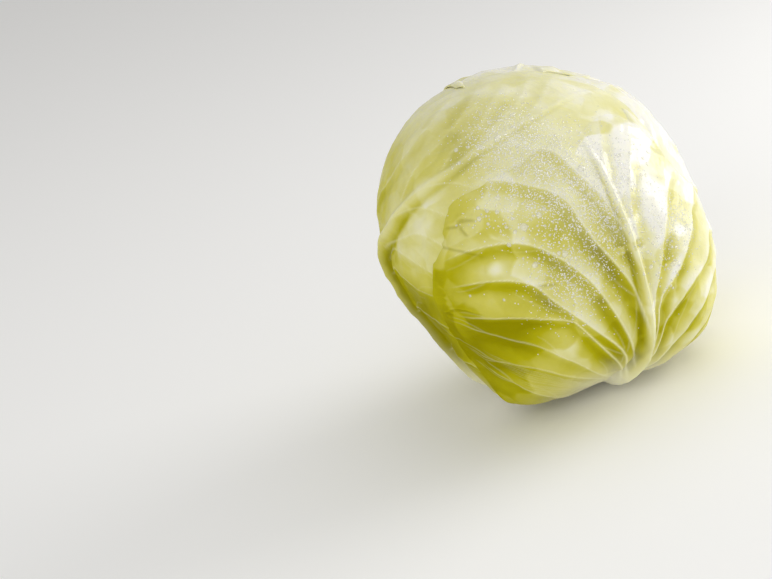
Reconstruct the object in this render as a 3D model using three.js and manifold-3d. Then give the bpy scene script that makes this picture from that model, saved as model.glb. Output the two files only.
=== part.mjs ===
// A whole head of white cabbage, standing on its cut stalk.
// Five wrapper leaves lie over a dense inner head, each a closed blade of its own.
// Millimetres, +Z up. Azimuth 0 is the side towards -Y, and it grows towards +X.

import * as THREE from 'three';
import { mergeVertices } from 'three/addons/utils/BufferGeometryUtils.js';
import Module from 'manifold-3d';

const manifoldLibrary = await Module();
manifoldLibrary.setup();

// Driving sizes of the head
const centreHeight = 76;
const longHalf = 92;
const middleHalf = 86;
const shortHalf = 78.5;
const longAxis = { azimuth: 70, elevation: -50 };
const shortAxis = { azimuth: 101, elevation: 36 };
const undersideDepth = 72;
const undersideRounding = 5;
const farAway = 400;

// Broad swells and hollows of the head: where, how high and how wide in degrees
const swells = [
  { azimuth: -42, elevation: -55, height: 8, width: 24 },
  { azimuth: 80, elevation: 0, height: -4.5, width: 26 },
  { azimuth: 100, elevation: 40, height: 3, width: 28 },
  { azimuth: -100, elevation: 30, height: -2, width: 30 },
  { azimuth: -82, elevation: -20, height: -6, width: 26 },
  { azimuth: 0, elevation: -60, height: -6, width: 22 },
  { azimuth: 160, elevation: 60, height: -2, width: 34 },
  { azimuth: -38, elevation: -50, height: 2.5, width: 12 },
  { azimuth: 150, elevation: 74, height: 1.8, width: 22 },
  { azimuth: 30, elevation: -49, height: -2, width: 16 },
];

// Leaves: blade, the room between two of them, and how a leaf settles over the one below
const bladeThickness = 1;
const marginThickness = 0.7;
const leafGap = 0.6;
const innerGap = 1.2;
const wrapDepth = 3;
const drapeStart = 5;
const drapeLength = 22;
const headRadiusMean = 85;

// Stalk and the core that it runs on into
const stalkRadius = 18;
const stalkFaceBevel = 1.5;
const stalkSides = 40;
const neckHeight = 9;
const scarHeight = 0.5;
const scarCount = 5;
const coreRadius = 15;
const coreHeight = 70;
const coreGap = 0.3;
const leafBaseAngle = 16;
const claspAngle = 62;

const radians = THREE.MathUtils.degToRad;
const degrees = THREE.MathUtils.radToDeg;
const smoothstep = (x, low, high) => THREE.MathUtils.smoothstep(x, low, high);

// Unit vector at an azimuth and an elevation
function direction(azimuth, elevation) {
  const a = radians(azimuth);
  const e = radians(elevation);
  return new THREE.Vector3(Math.sin(a) * Math.cos(e), -Math.cos(a) * Math.cos(e), Math.sin(e));
}

const longWay = direction(longAxis.azimuth, longAxis.elevation);
const shortWay = direction(shortAxis.azimuth, shortAxis.elevation);
shortWay.addScaledVector(longWay, -shortWay.dot(longWay)).normalize();
const middleWay = new THREE.Vector3().crossVectors(shortWay, longWay);
const swellWays = swells.map((swell) => direction(swell.azimuth, swell.elevation));

// Radius of the whole head: a tilted ellipsoid with swells and a flattened underside
function headRadius(way) {
  const squares =
    (way.dot(longWay) / longHalf) ** 2 +
    (way.dot(middleWay) / middleHalf) ** 2 +
    (way.dot(shortWay) / shortHalf) ** 2;
  let radius = 1 / Math.sqrt(squares);
  swells.forEach((swell, index) => {
    const angle = degrees(way.angleTo(swellWays[index]));
    radius += swell.height * Math.exp(-((angle / swell.width) ** 2));
  });
  const floorRadius = way.z < 0 ? Math.min(-undersideDepth / way.z, farAway) : farAway;
  const k = undersideRounding;
  return -k * Math.log(Math.exp(-radius / k) + Math.exp(-floorRadius / k));
}

// Leaf outlines and veins, as [along, across] in degrees. "along" runs up the leaf's own
// meridian from under the stalk, "across" to its side, positive towards larger azimuth.
// Each side runs from the stalk to the top corner, and each top from the midrib's tip to there.
const leaves = [
  {
    name: 'leaf_under',
    azimuth: -145,
    color: 0xc9c474,
    midrib: [[16, 0], [50, 3], [100, 2], [150, 0]],
    side: {
      left: [[30, -36], [70, -54], [110, -52], [135, -38]],
      right: [[30, 36], [70, 54], [110, 52], [135, 38]],
    },
    top: { left: [[146, -20], [135, -38]], right: [[146, 20], [135, 38]] },
    rib: { height: 3.2, halfWidth: 6.5 },
    veins: { count: 6, spread: 44, sweep: 34 },
  },
  {
    name: 'leaf_left',
    azimuth: -65,
    color: 0xc2bb60,
    midrib: [
      [15, -6], [60, -15], [92, -19], [106, -15], [117, -1], [136, 19],
      [147, 25], [160, 29], [180, 29], [198, 22], [222, 14],
    ],
    side: {
      left: [[25, -40], [50, -58], [85, -64], [120, -62], [150, -54], [168, -44]],
      right: [[30, 26], [60, 32], [100, 38], [130, 44], [160, 53], [196, 56]],
    },
    top: { left: [[211, -8], [188, -28], [168, -44]], right: [[220, 36], [196, 56]] },
    rib: { height: 4, halfWidth: 6.5 },
    veins: { count: 7, spread: 40, sweep: 30 },
    cells: { along: 30, across: 13 },
  },
  {
    name: 'leaf_right',
    azimuth: 110,
    color: 0xe3e0bf,
    midrib: [[16, 0], [60, 4], [110, 4], [163, 0]],
    side: {
      left: [[30, -38], [60, -58], [95, -66], [125, -61], [141, -46]],
      right: [[30, 36], [70, 50], [110, 50], [150, 36]],
    },
    top: {
      left: [[158, -9], [150, -16], [143, -24], [140, -34], [141, -46]],
      right: [[160, 20], [150, 36]],
    },
    rib: { height: 3.4, halfWidth: 6.5 },
    veins: { count: 6, spread: 44, sweep: 34 },
  },
  {
    name: 'leaf_back',
    azimuth: 165,
    color: 0xcdc880,
    midrib: [[16, 0], [60, -4], [110, -2], [150, -2], [179, -2]],
    side: {
      left: [[30, -34], [70, -48], [110, -48], [135, -38], [152, -28], [163, -20]],
      right: [[30, 36], [70, 54], [110, 56], [140, 40], [160, 26], [180, 16]],
    },
    top: {
      left: [[174, -9], [168, -13], [163, -20]],
      right: [[182, 4], [185, 9], [180, 16]],
    },
    rib: { height: 3.8, halfWidth: 7 },
    veins: { count: 8, spread: 42, sweep: 34 },
    cells: { along: 28, across: 11 },
  },
  {
    name: 'leaf_front',
    azimuth: 25,
    color: 0xbeb74f,
    midrib: [[16, -3], [40, -4], [54, -1], [74, 0], [99, 1], [123, 2], [134, 3], [146, 7]],
    side: {
      left: [
        [14, -34], [31, -56], [43, -65], [62, -70], [80, -72],
        [102, -72], [127, -64], [138, -57], [146, -43],
      ],
      right: [[22, 32], [45, 46], [65, 58], [90, 66], [112, 64]],
    },
    top: {
      left: [[144, -8], [143, -20], [147, -36], [146, -43]],
      right: [[151, 21], [147, 29], [139, 33], [130, 35], [123, 38], [117, 43], [112, 52], [112, 64]],
    },
    rib: { height: 4.5, halfWidth: 6 },
    laterals: [
      [[41, -10], [49, -26], [54, -39], [50, -53]],
      [[41, -10], [58, -25], [68, -40], [72, -56]],
      [[53, -8], [71, -20], [77, -24], [79, -32]],
      [[60, -8], [72, -17], [86, -28], [95, -33], [99, -46]],
      [[62, -5], [78, -11], [94, -18], [110, -31], [117, -46]],
      [[76, -2], [85, -4], [103, -11], [118, -14], [126, -21], [140, -32]],
      [[99, 1], [112, -2], [123, -6], [134, -7]],
      [[66, 0], [75, 1], [90, 6], [102, 17], [108, 30]],
      [[68, -1], [80, 7], [86, 20], [92, 36], [94, 50]],
      [[56, 1], [63, 4], [72, 15], [78, 27], [80, 42]],
      [[47, 4], [55, 14], [61, 19], [63, 28], [62, 44]],
    ],
    cells: { along: 33, across: 14 },
  },
];
const plainCells = { along: 22, across: 10 };

// Ribs: a midrib rises within its foot, thins from its taper's start on and narrows all the way.
// Side veins do the same from where they leave it.
const ribFoot = 0.16;
const ribTaperStart = 0.2;
const ribTaper = 0.9;
const ribNarrowing = 0.68;
const ribStartShare = -0.1;
const lateralHeight = 1.5;
const lateralHalfWidth = 6.5;
const lateralTaper = 0.75;
const lateralFoot = 0.15;
const firstLateral = 0.12;
const lateralSpan = 0.72;

// The leaf above bridges a midrib in a wider, flatter bump
const imprintWidening = 9;
const imprintPlateau = 0.6;
const imprintSkirt = 1.6;

// Side veins flatten out within this distance of a leaf that lies over them
const flattenStart = 9;
const flattenLength = 6;

// Free margins stand off in waves
const waveHeight = 1.6;
const waveCount = 5;
const waveSlant = 0.6;
const marginStart = 0.82;
const tipStart = 0.9;

// Smooth curve through [along, across] points, as a function of 0 to 1 along its length
function smoothCurve(points) {
  const curve = new THREE.SplineCurve(points.map(([along, across]) => new THREE.Vector2(along, across)));
  curve.arcLengthDivisions = 400;
  return (share) => curve.getPointAt(Math.min(Math.max(share, 0), 1));
}

// A leaf's own frame: the level way across it and the level way that it faces
function leafFrame(leaf) {
  return { facing: direction(leaf.azimuth, 0), side: direction(leaf.azimuth + 90, 0) };
}

function toDirection(leaf, along, across) {
  const a = radians(along);
  const c = radians(across);
  const { facing, side } = leaf.frame;
  return new THREE.Vector3(0, 0, -Math.cos(a))
    .addScaledVector(facing, Math.sin(a))
    .multiplyScalar(Math.cos(c))
    .addScaledVector(side, Math.sin(c));
}

function toLeaf(leaf, way) {
  const across = degrees(Math.asin(THREE.MathUtils.clamp(way.dot(leaf.frame.side), -1, 1)));
  const along = 90 + degrees(Math.atan2(way.z, way.dot(leaf.frame.facing)));
  return { along, across };
}

// The leaf's base follows the stalk round, from the midrib to its corner
function basePoint(leaf, share, sign) {
  const angle = radians(claspAngle * share);
  const start = leaf.midrib[0];
  const lean = (1 - share) * start[1];
  return new THREE.Vector2(leafBaseAngle * Math.cos(angle), sign * leafBaseAngle * Math.sin(angle) + lean);
}

// Point of one half of a leaf: u from the stalk to the tip, v from the midrib to the margin,
// blended from the four lines round that half
function leafPoint(leaf, u, v, sign) {
  const half = sign < 0 ? leaf.halves.left : leaf.halves.right;
  const point = half.midrib(u).multiplyScalar(1 - v).addScaledVector(half.side(u), v);
  point.addScaledVector(basePoint(leaf, v, sign), 1 - u).addScaledVector(half.top(v), u);
  point.addScaledVector(half.midrib(0), -(1 - u) * (1 - v)).addScaledVector(half.side(0), -(1 - u) * v);
  point.addScaledVector(half.midrib(1), -u * (1 - v)).addScaledVector(half.side(1), -u * v);
  return point;
}

// Nearest distance in millimetres from a direction to a line, and how far along the line
function distanceToLine(way, line) {
  const point = way.clone().multiplyScalar(headRadiusMean);
  const edge = new THREE.Vector3();
  const offset = new THREE.Vector3();
  let best = { distance: Infinity, share: 0 };
  for (let i = 0; i + 1 < line.length; i += 1) {
    edge.subVectors(line[i + 1], line[i]);
    offset.subVectors(point, line[i]);
    const t = THREE.MathUtils.clamp(offset.dot(edge) / edge.lengthSq(), 0, 1);
    const distance = offset.addScaledVector(edge, -t).length();
    if (distance < best.distance) {
      best = { distance, share: (i + t) / (line.length - 1) };
    }
  }
  return best;
}

function lineOnSphere(leaf, curve, steps) {
  const line = [];
  for (let i = 0; i <= steps; i += 1) {
    const point = curve(i / steps);
    line.push(toDirection(leaf, point.x, point.y).multiplyScalar(headRadiusMean));
  }
  return line;
}

// Side veins of a plain leaf: they leave the midrib in turn and sweep up to the margin
function plainLaterals(leaf) {
  const { count, spread, sweep } = leaf.veins;
  const midrib = smoothCurve(leaf.midrib);
  const laterals = [];
  for (let i = 0; i < count; i += 1) {
    for (const sign of [-1, 1]) {
      const start = midrib(firstLateral + (lateralSpan * (i + (sign > 0 ? 0.4 : 0))) / count);
      const reach = spread * (1 - (0.5 * i) / count);
      laterals.push([
        [start.x, start.y],
        [start.x + 0.5 * sweep, start.y + sign * 0.35 * reach],
        [start.x + 0.95 * sweep, start.y + sign * reach],
      ]);
    }
  }
  return laterals;
}

function prepareLeaf(leaf) {
  leaf.frame = leafFrame(leaf);
  const midrib = smoothCurve(leaf.midrib);
  leaf.halves = {};
  for (const [key, sign] of [['left', -1], ['right', 1]]) {
    const corner = basePoint(leaf, 1, sign);
    const side = smoothCurve([[corner.x, corner.y], ...leaf.side[key]]);
    const top = smoothCurve([leaf.midrib[leaf.midrib.length - 1], ...leaf.top[key]]);
    leaf.halves[key] = { midrib, side, top };
  }
  leaf.midribLine = lineOnSphere(leaf, midrib, 60);
  const laterals = leaf.laterals ?? plainLaterals(leaf);
  leaf.lateralLines = laterals.map((points) => lineOnSphere(leaf, smoothCurve(points), 14));
  leaf.outline = outlineOf(leaf);
  leaf.outlineLine = leaf.outline.map((point) =>
    toDirection(leaf, point.x, point.y).multiplyScalar(headRadiusMean),
  );
}

// Closed outline: up the left side, over the top, down the right side and round the stalk
function outlineOf(leaf) {
  const steps = 24;
  const points = [];
  const walk = (curve, from, to) => {
    for (let i = 0; i < steps; i += 1) {
      points.push(curve(from + ((to - from) * i) / steps));
    }
  };
  walk(leaf.halves.left.side, 0, 1);
  walk(leaf.halves.left.top, 1, 0);
  walk(leaf.halves.right.top, 0, 1);
  walk(leaf.halves.right.side, 1, 0);
  walk((share) => basePoint(leaf, share, 1), 1, 0);
  walk((share) => basePoint(leaf, share, -1), 0, 1);
  points.push(points[0].clone());
  return points;
}

function insideOutline(leaf, { along, across }) {
  let inside = false;
  const points = leaf.outline;
  for (let i = 0; i + 1 < points.length; i += 1) {
    const a = points[i];
    const b = points[i + 1];
    if (a.y > across !== b.y > across) {
      const crossing = a.x + ((b.x - a.x) * (across - a.y)) / (b.y - a.y);
      if (crossing > along) {
        inside = !inside;
      }
    }
  }
  return inside;
}

// 1 over a leaf, falling to 0 a little way beyond its margin
function cover(leaf, way, start = drapeStart, length = drapeLength) {
  if (insideOutline(leaf, toLeaf(leaf, way))) {
    return 1;
  }
  const { distance } = distanceToLine(way, leaf.outlineLine);
  return 1 - smoothstep(distance, start, start + length);
}

// Height of the midrib above the blade, widened for the leaf that lies over it
function midribHeight(leaf, way, widening = 0) {
  const { distance, share } = distanceToLine(way, leaf.midribLine);
  const rise = smoothstep(share, ribStartShare, ribFoot);
  const taper = 1 - ribTaper * smoothstep(share, ribTaperStart, 1);
  const plateau = imprintPlateau * widening;
  const reach = leaf.rib.halfWidth * (1 - ribNarrowing * share) + imprintSkirt * widening;
  return leaf.rib.height * rise * taper * (1 - smoothstep(distance, plateau, reach));
}

function lateralRelief(leaf, way) {
  let relief = 0;
  for (const line of leaf.lateralLines) {
    const { distance, share } = distanceToLine(way, line);
    const height = lateralHeight * (1 - lateralTaper * share) * smoothstep(share, ribStartShare, lateralFoot);
    relief = Math.max(relief, height * (1 - smoothstep(distance, 0, lateralHalfWidth)));
  }
  return relief;
}

// Radius of the surface that leaf number `index` lies on
function bedRadius(index, way) {
  let radius = headRadius(way) - wrapDepth;
  for (const leaf of leaves.slice(0, index)) {
    radius += cover(leaf, way) * (bladeThickness + leafGap);
    radius += midribHeight(leaf, way, imprintWidening);
  }
  return radius;
}

// 1 where no later leaf lies over this one
function openShare(index, way) {
  const coveredBy = (leaf) => cover(leaf, way, flattenStart, flattenLength);
  return leaves.slice(index + 1).reduce((share, leaf) => share * (1 - coveredBy(leaf)), 1);
}

// Waves of the free margin, which die out towards the middle of the leaf
function marginWave(u, v) {
  const nearMargin = Math.max(smoothstep(v, marginStart, 1), smoothstep(u, tipStart, 1));
  const clearOfFoot = smoothstep(u, 0.2, 0.5);
  return nearMargin * clearOfFoot * waveHeight * Math.sin(Math.PI * waveCount * (u + waveSlant * v)) ** 2;
}

const headCentre = new THREE.Vector3(0, 0, centreHeight);
const placeAt = (way, radius) => way.clone().multiplyScalar(radius).add(headCentre);

// Columns stand closer beside the midrib
const columnShare = (t) => t * (0.65 + 0.35 * t);

function leafGeometry(index) {
  const leaf = leaves[index];
  const cells = leaf.cells ?? plainCells;
  const rows = cells.along;
  const columns = 2 * cells.across;
  const outer = [];
  const inner = [];
  for (let row = 0; row <= rows; row += 1) {
    const u = row / rows;
    for (let column = 0; column <= columns; column += 1) {
      const t = column / cells.across - 1;
      const v = columnShare(Math.abs(t));
      const point = leafPoint(leaf, u, v, t < 0 ? -1 : 1);
      const way = toDirection(leaf, point.x, point.y);
      const bed = bedRadius(index, way);
      const rim = row === 0 || row === rows || column === 0 || column === columns;
      const blade = rim ? marginThickness : bladeThickness;
      const open = openShare(index, way);
      const lift = marginWave(u, v) * open;
      const relief = midribHeight(leaf, way) + (rim ? 0 : lateralRelief(leaf, way) * open);
      outer.push(placeAt(way, bed + lift + blade + relief));
      inner.push(placeAt(way, bed + lift));
    }
  }
  return bladeGeometry(outer, inner, rows, columns);
}

// Closed blade from two like grids: both faces are split alike, and a rim joins them
function bladeGeometry(outer, inner, rows, columns) {
  const vertices = [...outer, ...inner];
  const wide = columns + 1;
  const innerStart = outer.length;
  const faces = [];
  for (let row = 0; row < rows; row += 1) {
    for (let column = 0; column < columns; column += 1) {
      const a = row * wide + column;
      const b = a + 1;
      const c = a + wide;
      const d = c + 1;
      faces.push([a, b, d], [a, d, c]);
      faces.push([a + innerStart, d + innerStart, b + innerStart]);
      faces.push([a + innerStart, c + innerStart, d + innerStart]);
    }
  }
  const rimLoop = [];
  for (let column = 0; column < columns; column += 1) rimLoop.push(column);
  for (let row = 0; row < rows; row += 1) rimLoop.push(row * wide + columns);
  for (let column = columns; column > 0; column -= 1) rimLoop.push(rows * wide + column);
  for (let row = rows; row > 0; row -= 1) rimLoop.push(row * wide);
  rimLoop.forEach((a, i) => {
    const b = rimLoop[(i + 1) % rimLoop.length];
    faces.push([a, a + innerStart, b + innerStart], [a, b + innerStart, b]);
  });
  return closedGeometry(vertices, faces);
}

function closedGeometry(vertices, faces) {
  const geometry = new THREE.BufferGeometry();
  const numbers = vertices.flatMap((point) => point.toArray());
  geometry.setAttribute('position', new THREE.Float32BufferAttribute(numbers, 3));
  geometry.setIndex(faces.flat());
  return geometry;
}

function toManifold(geometry) {
  const merged = mergeVertices(positionOnly(geometry), 1e-4);
  return new manifoldLibrary.Manifold(
    new manifoldLibrary.Mesh({
      numProp: 3,
      vertProperties: new Float32Array(merged.attributes.position.array),
      triVerts: new Uint32Array(merged.index.array),
    }),
  );
}

function fromManifold(solid) {
  const mesh = solid.getMesh();
  const geometry = new THREE.BufferGeometry();
  geometry.setAttribute('position', new THREE.BufferAttribute(mesh.vertProperties, 3));
  geometry.setIndex(new THREE.BufferAttribute(mesh.triVerts, 1));
  return geometry;
}

function positionOnly(geometry) {
  geometry.deleteAttribute('normal');
  geometry.deleteAttribute('uv');
  return geometry;
}

// The packed inner leaves: a lump under the wrapper leaves, with the edges of three of them
// standing out in a spiral towards the crown
const innerEdges = [
  { azimuth: -20, top: 150, halfWidth: 58 },
  { azimuth: 118, top: 158, halfWidth: 54 },
  { azimuth: -105, top: 150, halfWidth: 50 },
];
const innerStep = 0.9;
const innerEdgeSlope = 8;
const innerRings = 20;
const innerSides = 30;

function innerHeadRadius(way) {
  let radius = headRadius(way) - wrapDepth - innerGap - innerStep;
  innerEdges.forEach((edge) => {
    const { along, across } = toLeaf({ frame: leafFrame(edge) }, way);
    const belowTop = smoothstep(edge.top - along, 0, innerEdgeSlope);
    const inside = belowTop * smoothstep(edge.halfWidth - Math.abs(across), 0, innerEdgeSlope);
    radius += (innerStep / innerEdges.length) * inside;
  });
  return radius;
}

// Stalk with its cut face at the bottom, leaf scars round it, and the core inside the head
function stalkProfile(grow) {
  return [
    [0, -grow],
    [stalkRadius - stalkFaceBevel + grow, -grow],
    [stalkRadius + grow, stalkFaceBevel],
    [stalkRadius + grow, 0.5 * neckHeight],
    [stalkRadius - 1 + grow, neckHeight],
    [coreRadius + grow, 0.35 * coreHeight],
    [0.8 * coreRadius + grow, 0.6 * coreHeight],
    [0.5 * coreRadius + grow, 0.83 * coreHeight],
    [0.2 * coreRadius + grow, 0.96 * coreHeight],
    [0, coreHeight + grow],
  ].map(([radius, height]) => new THREE.Vector2(radius, height));
}

function latheUpright(profile) {
  const geometry = new THREE.LatheGeometry(profile, stalkSides);
  geometry.rotateX(Math.PI / 2);
  return geometry;
}

function stalkGeometry() {
  const geometry = mergeVertices(positionOnly(latheUpright(stalkProfile(0))), 1e-4);
  const position = geometry.attributes.position;
  for (let i = 0; i < position.count; i += 1) {
    const x = position.getX(i);
    const y = position.getY(i);
    const z = position.getZ(i);
    const radius = Math.hypot(x, y);
    if (z > 0 && z < neckHeight + 1 && radius > coreRadius) {
      const sink = scarHeight * (1 - Math.cos(scarCount * Math.atan2(x, -y) + z));
      position.setX(i, x * (1 - sink / radius));
      position.setY(i, y * (1 - sink / radius));
    }
  }
  return geometry;
}

function innerHeadGeometry() {
  const sphere = new THREE.SphereGeometry(1, innerSides, innerRings);
  sphere.rotateX(Math.PI / 2);
  const geometry = mergeVertices(positionOnly(sphere), 1e-4);
  const position = geometry.attributes.position;
  const way = new THREE.Vector3();
  for (let i = 0; i < position.count; i += 1) {
    way.fromBufferAttribute(position, i).normalize();
    const point = placeAt(way, innerHeadRadius(way));
    position.setXYZ(i, point.x, point.y, point.z);
  }
  const head = toManifold(geometry);
  const core = toManifold(latheUpright(stalkProfile(coreGap)));
  return fromManifold(head.subtract(core));
}

function piece(name, geometry, color, roughness) {
  const material = new THREE.MeshStandardMaterial({ color, roughness, metalness: 0 });
  const mesh = new THREE.Mesh(geometry, material);
  mesh.name = name;
  return mesh;
}

leaves.forEach(prepareLeaf);

const cabbage = new THREE.Group();
cabbage.name = 'cabbage_head';
cabbage.add(piece('stalk', stalkGeometry(), 0xe6dfc0, 0.7));
cabbage.add(piece('inner_head', innerHeadGeometry(), 0xdcd79a, 0.5));
leaves.forEach((leaf, index) => {
  cabbage.add(piece(leaf.name, leafGeometry(index), leaf.color, 0.42));
});

export default cabbage;
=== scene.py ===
from math import atan2, cos, pi, radians, sin, sqrt

import bpy
import numpy as np
from mathutils import Matrix, Vector
from mathutils.bvhtree import BVHTree


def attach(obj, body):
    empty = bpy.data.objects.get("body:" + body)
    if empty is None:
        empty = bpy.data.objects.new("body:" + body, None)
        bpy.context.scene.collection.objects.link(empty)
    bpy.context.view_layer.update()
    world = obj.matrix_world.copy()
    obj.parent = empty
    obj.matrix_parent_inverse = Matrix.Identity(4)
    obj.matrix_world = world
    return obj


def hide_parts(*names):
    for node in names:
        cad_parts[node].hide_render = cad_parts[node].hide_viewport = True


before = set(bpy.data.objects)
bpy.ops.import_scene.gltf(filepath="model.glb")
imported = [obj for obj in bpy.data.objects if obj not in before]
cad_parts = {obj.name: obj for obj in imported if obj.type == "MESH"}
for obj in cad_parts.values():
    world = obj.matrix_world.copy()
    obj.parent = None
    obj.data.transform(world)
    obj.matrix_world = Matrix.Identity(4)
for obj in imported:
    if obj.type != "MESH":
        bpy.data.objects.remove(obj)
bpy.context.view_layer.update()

# The head's form, in millimetres and degrees, as the frame has it
head = {
    "centreHeight": 76.0,
    "halves": (92.0, 86.0, 78.5),   # long, middle, short
    "longAxis": (70, -50),
    "shortAxis": (101, 36),
    "undersideDepth": 72.0,
    "undersideRounding": 5.0,
    "meanRadius": 85.0,
    "wrapDepth": 3.0,
    "swells": [   # azimuth, elevation, height, width
        (-42, -55, 8, 24), (80, 0, -4.5, 26), (100, 40, 3, 28), (-100, 30, -2, 30),
        (-82, -20, -6, 26), (0, -60, -6, 22), (160, 60, -2, 34), (-38, -50, 2.5, 12),
        (150, 74, 1.8, 22), (30, -49, -2, 16),
    ],
}

blades = {
    "thickness": 1.0,
    "gap": 0.6,
    "drapeStart": 5.0,
    "drapeLength": 22.0,
    "imprint": 9.0,
    "baseAngle": 16.0,
    "claspAngle": 62.0,
    "sunkEdge": 0.95,
    "ribTaper": 0.68,
    "waveHeight": 1.6,
    "waveCount": 5,
}


def smooth(x, low, high):
    t = np.clip((x - low) / (high - low), 0, 1)
    return t * t * (3 - 2 * t)


# A bell: 1 at the place given, falling off over the width
def bell(x, place, width):
    return np.exp(-((x - place) / width) ** 2)


def wayAt(azimuth, elevation):
    a, e = radians(azimuth), radians(elevation)
    return np.array([sin(a) * cos(e), -cos(a) * cos(e), sin(e)])


def unit(v):
    return v / np.linalg.norm(v, axis=-1, keepdims=True)


longWay = wayAt(*head["longAxis"])
shortWay = wayAt(*head["shortAxis"])
shortWay = unit(shortWay - longWay * shortWay.dot(longWay))
middleWay = np.cross(shortWay, longWay)


def headRadius(ways):
    longHalf, middleHalf, shortHalf = head["halves"]
    squares = (ways @ longWay / longHalf) ** 2
    squares += (ways @ middleWay / middleHalf) ** 2 + (ways @ shortWay / shortHalf) ** 2
    radius = 1 / np.sqrt(squares)
    for azimuth, elevation, height, width in head["swells"]:
        angle = np.degrees(np.arccos(np.clip(ways @ wayAt(azimuth, elevation), -1, 1)))
        radius += height * np.exp(-((angle / width) ** 2))
    down = np.maximum(-ways[:, 2], 0.01)
    floorRadius = np.minimum(head["undersideDepth"] / down, 400)
    k = head["undersideRounding"]
    return -k * np.log(np.exp(-radius / k) + np.exp(-floorRadius / k))


# A smooth curve through points, even along its length
def smoothCurve(points, steps=240):
    p = np.array(points, float)
    p = np.vstack([p[0], p, p[-1]])
    parts = []
    for i in range(len(points) - 1):
        a, b, c, d = p[i:i + 4]
        t = np.linspace(0, 1, steps, endpoint=False)[:, None]
        v0, v1 = (c - a) / 2, (d - b) / 2
        cubic, square = 2 * b - 2 * c + v0 + v1, 3 * c - 3 * b - 2 * v0 - v1
        parts.append(cubic * t ** 3 + square * t ** 2 + v0 * t + b)
    track = np.vstack(parts + [p[-1:]])
    length = np.concatenate([[0], np.cumsum(np.linalg.norm(np.diff(track, axis=0), axis=1))])
    length /= length[-1]

    def at(share):
        share = np.clip(share, 0, 1)
        return np.stack([np.interp(share, length, track[:, 0]), np.interp(share, length, track[:, 1])], -1)
    return at


def toWays(leaf, alongAcross):
    a, c = np.radians(alongAcross[..., 0]), np.radians(alongAcross[..., 1])
    facing, side = wayAt(leaf["azimuth"], 0), wayAt(leaf["azimuth"] + 90, 0)
    up = np.array([0, 0, -1.0])
    meridian = np.cos(a)[..., None] * up + np.sin(a)[..., None] * facing
    return np.cos(c)[..., None] * meridian + np.sin(c)[..., None] * side


def toLeaf(leaf, ways):
    facing, side = wayAt(leaf["azimuth"], 0), wayAt(leaf["azimuth"] + 90, 0)
    across = np.degrees(np.arcsin(np.clip(ways @ side, -1, 1)))
    along = 90 + np.degrees(np.arctan2(ways[:, 2], ways @ facing))
    return np.stack([along, across], -1)


# Distance to a line, the share of it passed there, and the way from the line to the point
def distanceToLine(points, line):
    starts, edges = line[:-1], np.diff(line, axis=0)
    squares = (edges ** 2).sum(1)
    distance, share, offset = np.empty(len(points)), np.empty(len(points)), np.empty((len(points), 3))
    for first in range(0, len(points), 3000):
        part = points[first:first + 3000, None] - starts
        t = np.clip((part * edges).sum(-1) / squares, 0, 1)
        away = part - t[..., None] * edges
        gap = np.linalg.norm(away, axis=-1)
        nearest = gap.argmin(1)
        rows = np.arange(len(nearest))
        distance[first:first + 3000] = gap[rows, nearest]
        offset[first:first + 3000] = away[rows, nearest]
        share[first:first + 3000] = (nearest + t[rows, nearest]) / len(edges)
    return distance, share, offset


# The same for the points near a short line alone
def nearLine(points, line, reach):
    middle = line.mean(0)
    limit = np.linalg.norm(line - middle, axis=1).max() + reach
    near = np.where(((points - middle) ** 2).sum(1) < limit ** 2)[0]
    if len(near) == 0:
        return near, np.empty(0), np.empty(0), np.empty((0, 3))
    return (near, *distanceToLine(points[near], line))


def lineOnHead(leaf, curve, steps):
    return toWays(leaf, curve(np.linspace(0, 1, steps + 1))) * head["meanRadius"]


# Leaf outlines and veins in degrees: along the leaf from under the stalk, and across it
leafUnder = {
    "node": "leaf_under",
    "azimuth": -145,
    "midrib": [(16, 0), (50, 3), (100, 2), (150, 0)],
    "leftSide": [(30, -36), (70, -54), (110, -52), (135, -38)],
    "rightSide": [(30, 36), (70, 54), (110, 52), (135, 38)],
    "leftTop": [(146, -20), (135, -38)],
    "rightTop": [(146, 20), (135, 38)],
    "rib": (3.2, 6.5),
    "laterals": {"count": 6, "spread": 44, "sweep": 34},
    "cells": (220, 70),
    "seed": 3,
}

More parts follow.
